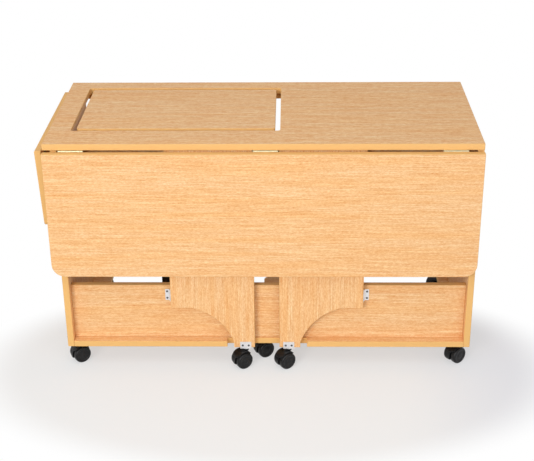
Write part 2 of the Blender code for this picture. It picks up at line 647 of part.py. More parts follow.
def build_lift(root, board, black_steel, steel):
    """Platform on a two-stage column with a gas spring inside; the upper stage slides down into the lower.

    The stroke is what the column can travel between its base plate and the platform's flange.
    """
    centre = Vector(((PLATFORM_LEFT + PLATFORM_RIGHT) / 2, (PLATFORM_REAR + PLATFORM_FRONT) / 2, 0))
    seat = Matrix.Translation(centre)
    base_low = BOTTOM_BOARD_TOP + FIT
    base_top = base_low + FLANGE_PLATE
    flange_top = TOP_UNDERSIDE - FIT
    flange_low = flange_top - FLANGE_PLATE
    stroke = (flange_low - base_top - COLUMN_OVERLAP - 2 * COLUMN_STOP) / 2
    inner_low = base_top + COLUMN_STOP + stroke
    outer_top = inner_low + COLUMN_OVERLAP
    lap = FLANGE_PLATE / 2
    print(f"lift stroke {stroke:.4f}")

    half_width = COLUMN_WIDTH / 2
    half_depth = COLUMN_DEPTH / 2
    outer = combined(
        tube(COLUMN_WIDTH, COLUMN_DEPTH, COLUMN_WALL, base_low + lap, outer_top),
        "UNION",
        block(
            -half_width - BASE_MARGIN, half_width + BASE_MARGIN,
            -half_depth - BASE_MARGIN, half_depth + BASE_MARGIN, base_low, base_top,
        ),
    )
    add_piece("lift_column_outer", outer, black_steel, root, seat)

    bore = GAS_CYLINDER_RADIUS - GAS_CYLINDER_WALL
    cylinder_low = base_top + FIT
    piston_low = cylinder_low + GAS_END_WALL + RUNNING_FIT + stroke
    piston_top = piston_low + GAS_PISTON
    cap_low = piston_top + RUNNING_FIT
    cylinder_top = cap_low + GAS_END_WALL
    rod_bore = GAS_ROD_RADIUS + FIT
    cylinder = turned([
        (0, cylinder_low), (GAS_CYLINDER_RADIUS, cylinder_low), (GAS_CYLINDER_RADIUS, cylinder_top),
        (rod_bore, cylinder_top), (rod_bore, cap_low), (bore, cap_low),
        (bore, cylinder_low + GAS_END_WALL), (0, cylinder_low + GAS_END_WALL),
    ])
    add_piece("gas_spring_cylinder", cylinder, black_steel, root, seat)

    lift = make_empty("lift_slide", root, centre)
    gap = COLUMN_WALL + RUNNING_FIT
    inner = combined(
        tube(COLUMN_WIDTH - 2 * gap, COLUMN_DEPTH - 2 * gap, COLUMN_WALL, inner_low, flange_low + lap),
        "UNION",
        block(
            -half_width - FLANGE_MARGIN, half_width + FLANGE_MARGIN,
            -half_depth - FLANGE_MARGIN, half_depth + FLANGE_MARGIN, flange_low, flange_top,
        ),
    )
    add_piece("lift_column_inner", inner, black_steel, lift)
    piston = bore - FIT
    gas_rod = turned([
        (0, piston_low), (piston, piston_low), (piston, piston_top), (GAS_ROD_RADIUS, piston_top),
        (GAS_ROD_RADIUS, flange_low - FIT), (0, flange_low - FIT),
    ])
    add_piece("gas_spring_rod", gas_rod, steel, lift)

    x0 = PLATFORM_LEFT - centre.x
    y0 = PLATFORM_REAR - centre.y
    platform = prism(
        rounded([(x0, y0, OPENING_CORNER), (-x0, y0, OPENING_CORNER),
                 (-x0, -y0, OPENING_CORNER), (x0, -y0, OPENING_CORNER)]),
        TOP_UNDERSIDE, WORKTOP_HEIGHT,
    )
    eased(add_piece("lift_platform", platform, board, lift))


def centre_on_footprint(root):
    """Move the whole cabinet so that the middle of its footprint is at the origin."""
    bpy.context.view_layer.update()
    graph = bpy.context.evaluated_depsgraph_get()
    corners = []
    for piece in bpy.data.objects:
        if piece.type == "MESH":
            shape = piece.evaluated_get(graph)
            corners += [shape.matrix_world @ vertex.co for vertex in shape.data.vertices]
    for axis in (0, 1):
        values = [corner[axis] for corner in corners]
        root.location[axis] = -(min(values) + max(values)) / 2
    bpy.context.view_layer.update()


def main():
    remove_everything()
    board = make_finish("oak_melamine", (0.83, 0.53, 0.25), 0.45)
    steel = make_finish("bright_zinc", (0.66, 0.67, 0.69), 0.3, 1.0)
    castor_steel = make_finish("castor_zinc", (0.58, 0.59, 0.61), 0.35, 1.0)
    black_steel = make_finish("black_steel", (0.02, 0.02, 0.022), 0.4, 0.2)
    plastic = make_finish("black_plastic", (0.018, 0.018, 0.02), 0.42)

    root = make_empty("cabinet", None)
    build_carcass(root, board)
    build_leaves(root, board, steel)
    build_gate_legs(root, board, steel, plastic, castor_steel)
    build_fixed_castors(root, plastic, castor_steel)
    build_leaf_supports(root, steel)
    build_lift(root, board, black_steel, steel)
    centre_on_footprint(root)


main()
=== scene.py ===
"""Sewing cabinet with an oak finish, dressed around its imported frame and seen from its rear."""

import json
from math import atan2, cos, pi, radians, sin, tau

import bmesh
import bpy
from mathutils import Matrix, Vector


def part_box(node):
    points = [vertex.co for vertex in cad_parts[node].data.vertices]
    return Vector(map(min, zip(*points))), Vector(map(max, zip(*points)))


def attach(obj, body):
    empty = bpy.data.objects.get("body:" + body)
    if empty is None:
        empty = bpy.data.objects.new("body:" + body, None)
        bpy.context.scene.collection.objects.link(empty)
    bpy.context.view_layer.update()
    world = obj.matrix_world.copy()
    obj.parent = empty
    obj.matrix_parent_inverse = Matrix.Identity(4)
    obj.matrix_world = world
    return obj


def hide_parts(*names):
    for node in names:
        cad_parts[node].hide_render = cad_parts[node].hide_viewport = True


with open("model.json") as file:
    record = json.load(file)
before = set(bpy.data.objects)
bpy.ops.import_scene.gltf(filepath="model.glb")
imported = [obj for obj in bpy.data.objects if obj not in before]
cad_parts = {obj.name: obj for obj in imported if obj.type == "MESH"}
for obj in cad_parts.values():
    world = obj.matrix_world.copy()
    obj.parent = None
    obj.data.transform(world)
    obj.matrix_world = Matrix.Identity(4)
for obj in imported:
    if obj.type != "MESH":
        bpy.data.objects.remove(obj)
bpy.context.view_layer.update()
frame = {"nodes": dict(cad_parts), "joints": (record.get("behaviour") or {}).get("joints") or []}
scene = bpy.context.scene
scene.view_settings.view_transform = "Standard"


# Camera. It stands behind the cabinet, well above the worktop, and looks down on it.
# Its place, its three turns and its lens come from the corners of the worktop and the edges of the carcass.
LENS = 79.05
PITCH, TURN, ROLL = radians(25.8445), radians(1.2794), radians(-0.5520)
FROM_REAR_EDGE = Vector((0.07435, -2.90019, 1.15022))

top_low, top_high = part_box("worktop")
rear_edge = Vector(((top_low.x + top_high.x) / 2, top_low.y, top_high.z))
bpy.ops.object.camera_add()
camera = bpy.context.object
camera.name = "rear_camera"
camera.data.sensor_width = 36
camera.data.lens = LENS
camera.matrix_world = (
    Matrix.Translation(rear_edge + FROM_REAR_EDGE)
    @ Matrix.Rotation(TURN, 4, "Z")
    @ Matrix.Rotation(pi / 2 - PITCH, 4, "X")
    @ Matrix.Rotation(ROLL, 4, "Z")
)
scene.camera = camera


# Studio. A white sweep with a pale grey oval of floor round the cabinet, in a white room that is nearly even.
# A large soft lamp stands far off at the camera's left, a weaker one low at its right and another above.
def link_up(tree, *links):
    """Link output to input for each (node, output, node, input)."""
    for source, out, target, into in links:
        tree.links.new(source.outputs[out], target.inputs[into])


def node_maker(tree):
    """A way to add nodes to an emptied tree, with their inputs and settings."""
    tree.nodes.clear()

    def add(kind, inputs=(), **settings):
        node = tree.nodes.new("ShaderNode" + kind)
        for key, value in settings.items():
            setattr(node, key, value)
        for key, value in dict(inputs).items():
            node.inputs[key].default_value = value
        return node

    return add


def new_material(name):
    material = bpy.data.materials.new(name)
    material.use_nodes = True
    return material, node_maker(material.node_tree)


def seen_directly(tree, add):
    """Nodes that give 1 to rays from the camera, a mirror or glass, and 0 to light that falls on things."""
    rays = add("LightPath")
    mirrored = add("Math", operation="MAXIMUM")
    seen = add("Math", operation="MAXIMUM")
    link_up(
        tree,
        (rays, "Is Glossy Ray", mirrored, 0), (rays, "Is Transmission Ray", mirrored, 1),
        (rays, "Is Camera Ray", seen, 0), (mirrored, 0, seen, 1),
    )
    return seen


FLOOR_SIZE, FLOOR_PARTS, FLOOR_DROP = 40, 8, 0.0003
# Painted shade: right of the cabinet the floor's own colour gives way to a darker, bluer one, painted in
# place of the shadow the cabinet casts there.
FLOOR_LEFT = (0.76, 0.755, 0.745, 1)
FLOOR_RIGHT_SHADE = (0.56, 0.555, 0.63, 1)
SHADE_RIGHT_FROM, SHADE_RIGHT_TO = 0.35, 0.75
FLOOR_LIFT = 0.54
OVAL_MIDDLE = (0.02, -0.24, 0)
OVAL_REACH = (0.87, 0.51, 1)
FADE_FROM, FADE_TO = 0.80, 1.06

bpy.ops.object.select_all(action="DESELECT")
bpy.ops.mesh.primitive_grid_add(
    x_subdivisions=FLOOR_PARTS, y_subdivisions=FLOOR_PARTS, size=FLOOR_SIZE, location=(0, 0, -FLOOR_DROP)
)
floor = bpy.context.object
floor.name = "studio_floor"
sweep, add = new_material("pale_sweep")
shaded = add("BsdfDiffuse")
sideways = add("SeparateXYZ")
# Painted shade: the floor colour darkens and cools towards the right, across the span where the cabinet's
# shadow falls.
shade_to_right = add(
    "MapRange", {"From Min": SHADE_RIGHT_FROM, "From Max": SHADE_RIGHT_TO}, interpolation_type="SMOOTHSTEP"
)
floor_tone_and_shade = add("Mix", {"A": FLOOR_LEFT, "B": FLOOR_RIGHT_SHADE}, data_type="RGBA")
white = add("Emission", {"Color": (1, 1, 1, 1), "Strength": 1.0})
place = add("TexCoord")
oval = add("Mapping", {"Location": OVAL_MIDDLE, "Scale": OVAL_REACH}, vector_type="TEXTURE")
from_middle = add("VectorMath", operation="LENGTH")
fade = add(
    "MapRange", {"From Min": FADE_FROM, "From Max": FADE_TO, "To Min": FLOOR_LIFT},
    interpolation_type="SMOOTHSTEP",
)
seen = seen_directly(sweep.node_tree, add)
white_share = add("Math", operation="MULTIPLY")
mix = add("MixShader")
out = add("OutputMaterial")
link_up(
    sweep.node_tree,
    (place, "Object", oval, "Vector"), (oval, "Vector", from_middle, 0),
    (from_middle, "Value", fade, "Value"), (seen, 0, white_share, 0), (fade, "Result", white_share, 1),
    (white_share, 0, mix, "Fac"), (place, "Object", sideways, 0), (sideways, "X", shade_to_right, "Value"),
    (shade_to_right, 0, floor_tone_and_shade, "Factor"), (floor_tone_and_shade, "Result", shaded, "Color"),
    (shaded, 0, mix, 1), (white, 0, mix, 2), (mix, 0, out, "Surface"),
)
floor.data.materials.append(sweep)

ROOM_NEAR, ROOM_FAR = 0.51, 0.48
room = bpy.data.worlds.new("white_room")
room.use_nodes = True
scene.world = room
add = node_maker(room.node_tree)
direction = add("TexCoord")
split = add("SeparateXYZ")
room_level = add("MapRange", {"From Min": -1, "From Max": 1, "To Min": ROOM_NEAR, "To Max": ROOM_FAR})
seen = seen_directly(room.node_tree, add)
strength = add("Mix", {"B": 1.0}, data_type="FLOAT")
backdrop = add("Background", {"Color": (1, 1, 1, 1)})
out = add("OutputWorld")
link_up(
    room.node_tree,
    (direction, "Generated", split, 0), (split, "Y", room_level, "Value"),
    (seen, 0, strength, "Factor"), (room_level, 0, strength, "A"),
    (strength, "Result", backdrop, "Strength"), (backdrop, 0, out, "Surface"),
)

LAMPS_AIM = Vector((0, 0, 0.4))
for name, stand, power, width in (
    ("key_lamp", (-2.4, -5.4, 2.7), 160, 2.0),
    ("fill_lamp", (2.1, -2.8, 0.6), 24, 2.2),
    ("top_lamp", (-0.3, -1.5, 2.7), 16, 1.6),
):
    bpy.ops.object.light_add(type="AREA", location=stand)
    lamp = bpy.context.object
    lamp.name = name
    lamp.data.size = width
    lamp.data.energy = power
    lamp.rotation_euler = (LAMPS_AIM - Vector(stand)).to_track_quat("-Z", "Y").to_euler()


# Boards. Particle board faced with melamine in a light oak print, cut to size, its edges closed with a plain
# yellow band. The grain runs along each board; legs and side panels stand upright, so theirs runs upwards.
OAK_LIGHT = (0.98, 0.745, 0.437, 1)
OAK_DARK = (0.70, 0.274, 0.064, 1)
OAK_WARM = (1.0, 0.915, 0.79, 1)
OAK_PORE = (0.58, 0.270, 0.100, 1)
BAND_LIGHT = (0.855, 0.522, 0.196, 1)
BAND_DARK = (0.79, 0.455, 0.162, 1)
TO_GRAIN = {"X": (0, 0, 0), "Y": (0, 0, -pi / 2), "Z": (0, pi / 2, 0)}
FLECK_STRETCH = 0.27
FACE_FROM = 0.85
nodes = frame["nodes"]


def oak_board(name, grain, thickness, start, fine, shine):
    """Oak-printed board: the print on the two faces across its thickness, the band on every edge."""
    material, add = new_material(name)
    place = add("TexCoord")
    turned = add("Mapping", {"Rotation": TO_GRAIN[grain], "Location": start})
    broad_map = add("Mapping", {"Scale": (2.0, 50, 50)})
    streak_map = add("Mapping", {"Scale": (8, fine, fine)})
    fleck_map = add("Mapping", {"Scale": (fine * FLECK_STRETCH, fine, fine)})
    pore_map = add("Mapping", {"Scale": (70, 1500, 1500)})
    broad = add("TexNoise", {"Scale": 1, "Detail": 2, "Roughness": 0.5})
    streaks = add("TexNoise", {"Scale": 1, "Detail": 3, "Roughness": 0.9})
    flecks = add("TexNoise", {"Scale": 1, "Detail": 3, "Roughness": 0.9})
    pores = add("TexNoise", {"Scale": 1, "Detail": 2, "Roughness": 0.6})
    warm_share = add("MapRange", {"From Min": 0.34, "From Max": 0.70})
    streak_share = add("MapRange", {"From Min": 0.37, "From Max": 0.63, "To Max": 0.50})
    fleck_share = add("MapRange", {"From Min": 0.37, "From Max": 0.63, "To Max": 0.48})
    tone_sum = add("Math", operation="ADD")
    tone = add("Mix", {"A": OAK_LIGHT, "B": OAK_DARK}, data_type="RGBA")
    warm = add("Mix", {"B": OAK_WARM}, data_type="RGBA", blend_type="MULTIPLY")
    pore = add("MapRange", {"From Min": 0.56, "From Max": 0.74, "To Max": 0.45})
    print_colour = add("Mix", {"B": OAK_PORE}, data_type="RGBA")
    band = add("Mix", {"A": BAND_LIGHT, "B": BAND_DARK}, data_type="RGBA")
    split = add("SeparateXYZ")
    upright = add("Math", operation="ABSOLUTE")
    is_face = add("Math", {1: FACE_FROM}, operation="GREATER_THAN")
    colour = add("Mix", data_type="RGBA")
    gloss = add("MapRange", {"From Min": 0.3, "From Max": 0.75, "To Min": 0.50, "To Max": 0.62})
    relief = add("Bump", {"Strength": 0.12, "Distance": 0.0004})
    shader = add("BsdfPrincipled", {"Specular IOR Level": shine})
    out = add("OutputMaterial")
    link_up(
        material.node_tree,
        (place, "Object", turned, "Vector"), (turned, 0, broad_map, 0), (turned, 0, streak_map, 0),
        (turned, 0, fleck_map, 0), (turned, 0, pore_map, 0), (broad_map, 0, broad, "Vector"),
        (streak_map, 0, streaks, "Vector"), (fleck_map, 0, flecks, "Vector"), (pore_map, 0, pores, "Vector"),
        (broad, 0, warm_share, "Value"), (streaks, 0, streak_share, "Value"),
        (flecks, 0, fleck_share, "Value"), (streak_share, 0, tone_sum, 0), (fleck_share, 0, tone_sum, 1),
        (tone_sum, 0, tone, "Factor"), (warm_share, 0, warm, "Factor"), (tone, "Result", warm, "A"),
        (pores, 0, pore, "Value"), (pore, 0, print_colour, "Factor"), (warm, "Result", print_colour, "A"),
        (flecks, 0, band, "Factor"),
        (place, "Normal", split, 0), (split, thickness, upright, 0), (upright, 0, is_face, 0),
        (is_face, 0, colour, "Factor"), (band, "Result", colour, "A"), (print_colour, "Result", colour, "B"),
        (colour, "Result", shader, "Base Color"), (pores, 0, gloss, "Value"), (gloss, 0, shader, "Roughness"),
        (pores, 0, relief, "Height"), (relief, 0, shader, "Normal"), (shader, 0, out, "Surface"),
    )
    return material


def finish_node(name, material):
    """Give a carried-over solid its finish."""
    nodes[name].data.materials.clear()
    nodes[name].data.materials.append(material)


for name, grain, thickness, start, fine, shine in (
    ("worktop", "X", "Z", (0.3, 0.1, 0.2), 240, 0.30),
    ("lift_platform", "X", "Z", (1.7, 0.46, 0.9), 240, 0.30),
    ("rear_leaf", "X", "Y", (4.1, 0.7, 0.35), 440, 0.14),
    ("side_leaf", "Y", "X", (2.2, 3.1, 0.1), 440, 0.14),
    ("gate_leg_left", "Z", "Y", (0.4, 5.2, 1.4), 420, 0.14),
    ("gate_leg_right", "Z", "Y", (1.9, 6.3, 2.2), 420, 0.14),
    ("low_rear_panel", "X", "Y", (6.2, 1.5, 3.3), 440, 0.14),
    ("upper_rear_rail", "X", "Y", (5.2, 0.5, 4.1), 440, 0.05),
    ("front_rail", "X", "Z", (7.3, 2.5, 1.1), 440, 0.05),
    ("side_panel_left", "Z", "X", (3.4, 7.5, 0.6), 440, 0.05),
    ("side_panel_right", "Z", "X", (8.1, 4.2, 2.9), 440, 0.05),
    ("bottom_board", "X", "Z", (9.6, 8.3, 5.4), 440, 0.05),
):
    finish_node(name, oak_board("oak_on_" + name, grain, thickness, start, fine, shine))


# Leaf hinges. Pressed steel butt hinges, yellow zinc plated, three under the rear edge of the worktop and two
# under its left edge. Each half is held by three burnished screws with a cross slot.
def zinc_plate(name, tone, rough, hue=(1, 1, 1)):
    """Bright plated steel with a faint crystal pattern and rolling marks."""
    material, add = new_material(name)
    place = add("TexCoord")
    spangle = add("TexVoronoi", {"Scale": 260})
    marks_map = add("Mapping", {"Scale": (300, 300, 4000)})
    marks = add("TexNoise", {"Scale": 1, "Detail": 2})
    bright = (tone * hue[0], tone * hue[1], tone * 1.02 * hue[2], 1)
    dull = (tone * 0.86 * hue[0], tone * 0.87 * hue[1], tone * 0.89 * hue[2], 1)
    tint = add("Mix", {"A": bright, "B": dull}, data_type="RGBA")
    gloss = add("MapRange", {"To Min": rough - 0.07, "To Max": rough + 0.09})
    relief = add("Bump", {"Strength": 0.08, "Distance": 0.0002})
    shader = add("BsdfPrincipled", {"Metallic": 1.0})
    out = add("OutputMaterial")
    link_up(
        material.node_tree,
        (place, "Object", spangle, "Vector"), (place, "Object", marks_map, "Vector"),
        (marks_map, 0, marks, "Vector"), (spangle, "Color", tint, "Factor"), (marks, 0, gloss, "Value"),
        (marks, 0, relief, "Height"), (tint, "Result", shader, "Base Color"), (gloss, 0, shader, "Roughness"),
        (relief, 0, shader, "Normal"), (shader, 0, out, "Surface"),
    )
    return material


def pick(piece, kind, test):
    """In edit mode, select the faces, edges or corners that pass a test and nothing else."""
    bpy.ops.mesh.select_mode(type=kind)
    bpy.ops.mesh.select_all(action="DESELECT")
    work = bmesh.from_edit_mesh(piece.data)
    for item in {"FACE": work.faces, "EDGE": work.edges, "VERT": work.verts}[kind]:
        item.select_set(test(item))
    bmesh.update_edit_mesh(piece.data)


def begin(name):
    """Name the primitive just added, set its place into its mesh and open it in edit mode."""
    piece = bpy.context.object
    piece.name = piece.data.name = name
    bpy.ops.object.transform_apply(location=True, rotation=True, scale=True)
    bpy.ops.object.mode_set(mode="EDIT")
    return piece


def combine(piece, operation, *tools):
    """Cut tools out of a piece, or fuse them with it, and throw the tools away."""
    bpy.context.view_layer.objects.active = piece
    for tool in tools:
        step = piece.modifiers.new("step", "BOOLEAN")
        step.operation = operation
        step.solver = "EXACT"
        step.object = tool
        bpy.ops.object.modifier_apply(modifier=step.name)
        bpy.data.objects.remove(tool)


def copies_at(name, master, placings):
    """One piece out of copies of a master, each turned and moved by its matrix."""
    bpy.ops.object.select_all(action="DESELECT")
    for placing in placings:
        copy = master.copy()
        copy.data = master.data.copy()
        copy.matrix_world = placing
        scene.collection.objects.link(copy)
        copy.select_set(True)
    bpy.context.view_layer.objects.active = copy
    bpy.ops.object.transform_apply(location=True, rotation=True, scale=True)
    if len(placings) > 1:
        bpy.ops.object.join()
    piece = bpy.context.object
    piece.name = piece.data.name = name
    return piece


SCREW_RADIUS = 0.0031
SCREW_RISE = 0.0007
SCREW_SIDES = 24
SCREW_ROUND = SCREW_RISE * 0.55
SLOT_LENGTH, SLOT_WIDTH = 0.0036, 0.0008

YELLOW_HUE = (1, 0.93, 0.63)
yellow_zinc = zinc_plate("yellow_zinc", 0.72, 0.50, YELLOW_HUE)
burnished = zinc_plate("burnished_screw", 0.13, 0.36)
bpy.ops.object.select_all(action="DESELECT")
bpy.ops.mesh.primitive_cylinder_add(
    vertices=SCREW_SIDES, radius=SCREW_RADIUS, depth=SCREW_RISE, location=(0, 0, SCREW_RISE / 2)
)
screw = begin("screw_master")
pick(screw, "EDGE", lambda edge: min(vert.co.z for vert in edge.verts) > SCREW_RISE / 2)
bpy.ops.mesh.bevel(offset=SCREW_ROUND, segments=3, profile=0.6)
bpy.ops.object.mode_set(mode="OBJECT")
slots = []
for slot_turn in (0, pi / 2):
    bpy.ops.object.select_all(action="DESELECT")
    bpy.ops.mesh.primitive_cube_add(
        size=1, location=(0, 0, SCREW_RISE), rotation=(0, 0, slot_turn),
        scale=(SLOT_LENGTH, SLOT_WIDTH, SCREW_RISE),
    )
    slots.append(bpy.context.object)
combine(screw, "DIFFERENCE", *slots)
screw.data.materials.clear()
screw.data.materials.append(burnished)


def screws(name, body, facing, points):
    """Screw heads that face one way, as one piece that rides with the plate they hold."""
    turn = Vector(facing).to_track_quat("Z", "Y").to_matrix().to_4x4()
    piece = copies_at(name, screw, [Matrix.Translation(point) @ turn for point in points])
    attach(piece, body)


PLATE = 0.0012
SCREW_SPREAD = 0.024
SCREW_FROM_EDGE = 0.009
SIDE_SCREW_FROM_EDGE = 0.0045
for hinge in ("left", "middle", "right"):
    fixed, swing = f"rear_hinge_{hinge}_fixed", f"rear_hinge_{hinge}_swing"
    finish_node(fixed, yellow_zinc)
    finish_node(swing, yellow_zinc)
    low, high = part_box(fixed)
    hinge_x = (low.x + high.x) / 2
    row = [hinge_x - SCREW_SPREAD, hinge_x, hinge_x + SCREW_SPREAD]
    screws(
        fixed + "_screws", "cabinet", (0, 0, -1),
        [(x, high.y - SCREW_FROM_EDGE, high.z - PLATE) for x in row],
    )
    low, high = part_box(swing)
    screws(
        swing + "_screws", "rear_leaf", (0, 1, 0),
        [(x, low.y + PLATE, low.z + SCREW_FROM_EDGE) for x in row],
    )

for hinge in ("rear", "front"):
    fixed, swing = f"side_hinge_{hinge}_fixed", f"side_hinge_{hinge}_swing"
    finish_node(fixed, yellow_zinc)
    finish_node(swing, yellow_zinc)
    low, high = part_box(fixed)
    hinge_y = (low.y + high.y) / 2
    row = [hinge_y - SCREW_SPREAD, hinge_y, hinge_y + SCREW_SPREAD]
    screws(
        fixed + "_screws", "cabinet", (0, 0, -1),
        [(high.x - SIDE_SCREW_FROM_EDGE, y, high.z - PLATE) for y in row],
    )
    low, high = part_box(swing)
    screws(
        swing + "_screws", "side_leaf", (1, 0, 0),
        [(low.x + PLATE, y, low.z + SCREW_FROM_EDGE) for y in row],
    )


# Gate legs. Each hangs on two small hinges at its outer edge, one on the low rear panel and one on the rail
# behind the hanging leaf, and has a grey nylon glide on top of its free end for the raised leaf to rest on.
GATE_SCREW_SPREAD = 0.0105
PANEL_SCREW_FROM_EDGE, LEG_SCREW_FROM_EDGE = 0.0055, 0.0045
GLIDE_LENGTH, GLIDE_WIDTH, GLIDE_RISE = 0.060, 0.0135, 0.0007
GLIDE_FROM_END = 0.003
GLIDE_CORNER, GLIDE_SOFT = GLIDE_WIDTH * 0.42, GLIDE_RISE * 0.5
GLIDE_GREY, GLIDE_PALE = (0.66, 0.66, 0.65, 1), (0.78, 0.78, 0.77, 1)

zinc = zinc_plate("bright_zinc", 0.88, 0.32)
nylon, add = new_material("grey_nylon")
place = add("TexCoord")
speck = add("TexNoise", {"Scale": 700, "Detail": 3})
tint = add("Mix", {"A": GLIDE_GREY, "B": GLIDE_PALE}, data_type="RGBA")
relief = add("Bump", {"Strength": 0.15, "Distance": 0.0002})
shader = add("BsdfPrincipled", {"Roughness": 0.5})
out = add("OutputMaterial")
link_up(
    nylon.node_tree,
    (place, "Object", speck, "Vector"), (speck, 0, tint, "Factor"), (tint, "Result", shader, "Base Color"),
    (speck, 0, relief, "Height"), (relief, 0, shader, "Normal"), (shader, 0, out, "Surface"),
)

for side, out_x in (("left", -1), ("right", 1)):
    leg = "gate_leg_" + side
    for hinge in ("lower", "upper"):
        fixed, swing = f"gate_hinge_{side}_{hinge}_fixed", f"gate_hinge_{side}_{hinge}_swing"
        finish_node(fixed, zinc)
        finish_node(swing, zinc)
        low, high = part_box(fixed)
        heights = [(low.z + high.z) / 2 + sign * GATE_SCREW_SPREAD for sign in (-1, 1)]
        outer_x = low.x if out_x < 0 else high.x
        screws(
            fixed + "_screws", "cabinet", (0, -1, 0),
            [(outer_x - out_x * PANEL_SCREW_FROM_EDGE, high.y - PLATE, z) for z in heights],
        )
        low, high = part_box(swing)
        inner_x = high.x if out_x < 0 else low.x
        screws(
            swing + "_screws", leg, (out_x, 0, 0),
            [(inner_x + out_x * PLATE, low.y + LEG_SCREW_FROM_EDGE, z) for z in heights],
        )

    low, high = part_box(leg)
    free_x = high.x if out_x < 0 else low.x
    glide_x = free_x + out_x * (GLIDE_LENGTH / 2 + GLIDE_FROM_END)
    bpy.ops.object.select_all(action="DESELECT")
    bpy.ops.mesh.primitive_cube_add(
        size=1, location=(glide_x, (low.y + high.y) / 2, high.z + GLIDE_RISE / 2),
        scale=(GLIDE_LENGTH, GLIDE_WIDTH, GLIDE_RISE),
    )
    glide = begin("leg_glide_" + side)
    pick(glide, "EDGE", lambda edge: abs(edge.verts[0].co.z - edge.verts[1].co.z) > GLIDE_RISE / 2)
    bpy.ops.mesh.bevel(offset=GLIDE_CORNER, segments=6)
    pick(glide, "EDGE", lambda edge: min(vert.co.z for vert in edge.verts) > high.z + GLIDE_RISE / 2)
    bpy.ops.mesh.bevel(offset=GLIDE_SOFT, segments=2)
    bpy.ops.object.mode_set(mode="OBJECT")
    bpy.ops.object.shade_smooth_by_angle(angle=radians(35))
    glide.data.materials.append(nylon)
    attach(glide, leg)


# Castors. Twin-wheel furniture castors: a black nylon hood that swivels on a steel pin, and two black nylon
# wheels on one axle. Round plates hold five of them under the carcass, angle brackets one under each leg.
def black_nylon(name, tone, rough):
    """Moulded black nylon with a fine grain and a slight dusting."""
    material, add = new_material(name)
    place = add("TexCoord")
    grain = add("TexNoise", {"Scale": 1500, "Detail": 3})
    dust = add("TexNoise", {"Scale": 70, "Detail": 4, "Roughness": 0.65})
    clean = (tone, tone, tone * 1.06, 1)
    dusty = (tone * 2.1, tone * 2.05, tone * 2.1, 1)
    tint = add("Mix", {"A": clean, "B": dusty}, data_type="RGBA")
    dust_share = add("MapRange", {"From Min": 0.42, "From Max": 0.75})
    gloss = add("MapRange", {"To Min": rough - 0.08, "To Max": rough + 0.12})
    relief = add("Bump", {"Strength": 0.18, "Distance": 0.0002})
    shader = add("BsdfPrincipled", {"Specular IOR Level": 0.24})
    out = add("OutputMaterial")
    link_up(
        material.node_tree,
        (place, "Object", grain, "Vector"), (place, "Object", dust, "Vector"), (dust, 0, dust_share, "Value"),
        (dust_share, 0, tint, "Factor"), (tint, "Result", shader, "Base Color"), (dust, 0, gloss, "Value"),
        (gloss, 0, shader, "Roughness"), (grain, 0, relief, "Height"), (relief, 0, shader, "Normal"),
        (shader, 0, out, "Surface"),
    )
    return material


def drawn_up(name, profile, sides):
    """A round piece about Z: a disc extruded and resized ring by ring through (radius, height) points."""
    bpy.ops.object.select_all(action="DESELECT")
    radius, height = profile[0]
    bpy.ops.mesh.primitive_circle_add(
        vertices=sides, radius=radius, fill_type="NGON", location=(0, 0, height)
    )
    piece = begin(name)
    bpy.ops.mesh.select_mode(type="FACE")
    bpy.ops.mesh.select_all(action="SELECT")
    for next_radius, next_height in profile[1:]:
        rise = (0, 0, next_height - height)
        bpy.ops.mesh.extrude_region_move(TRANSFORM_OT_translate={"value": rise})
        size = next_radius / radius
        bpy.ops.transform.resize(value=(size, size, 1), center_override=(0, 0, next_height))
        radius, height = next_radius, next_height
    bpy.ops.mesh.select_all(action="SELECT")
    bpy.ops.mesh.normals_make_consistent(inside=False)
    bpy.ops.object.mode_set(mode="OBJECT")
    bpy.ops.object.shade_smooth_by_angle(angle=radians(40))
    return piece


WHEEL_RADIUS = 0.025
TRAIL = 0.014
WHEEL_SIDES = 44
half_wheels = [
    (0.0030, 0.0055), (0.0225, 0.0056), (0.0242, 0.0062), (0.0250, 0.0078), (0.0250, 0.0170),
    (0.0246, 0.0190), (0.0234, 0.0207), (0.0214, 0.0215), (0.0184, 0.0215), (0.0176, 0.0207),
    (0.0164, 0.0201), (0.0074, 0.0205), (0.0068, 0.0208), (0.0064, 0.0214), (0.0040, 0.0215),
]
wheel_nylon = black_nylon("black_wheel_nylon", 0.007, 0.34)
other_half = [(radius, -offset) for radius, offset in reversed(half_wheels)]
wheels_master = drawn_up("wheels_master", other_half + half_wheels, WHEEL_SIDES)
wheels_master.data.materials.append(wheel_nylon)

HOOD_INNER, HOOD_OUTER = 0.0265, 0.0290
HOOD_HALF_WIDTH = 0.0165
HOOD_SOFT = 0.0009
WEB_WIDTH, WEB_BELOW_AXLE = 0.009, 0.009
HOOD_FROM, HOOD_TO = radians(30), radians(150)
HOOD_SIDES = 72
HOOD_TIP = (0.35, 0.65, 0.84, 0.96)
TIP_ROW = radians(1)
NECK_SIDES = 32
BOSS_RADIUS, BOSS_TOP, BOSS_SOFT = 0.0085, 0.0565, 0.0008
neck_profile = [
    (0.0042, 0.036), (0.0044, 0.0485), (BOSS_RADIUS - 0.001, 0.0508), (BOSS_RADIUS, 0.0515),
    (BOSS_RADIUS, BOSS_TOP - BOSS_SOFT), (BOSS_RADIUS - BOSS_SOFT, BOSS_TOP),
]
hood_nylon = black_nylon("black_hood_nylon", 0.006, 0.30)


def arc_angle(point):
    """Angle of a point round the axle, seen along it."""
    return atan2(point.z - WHEEL_RADIUS, point.x - TRAIL)


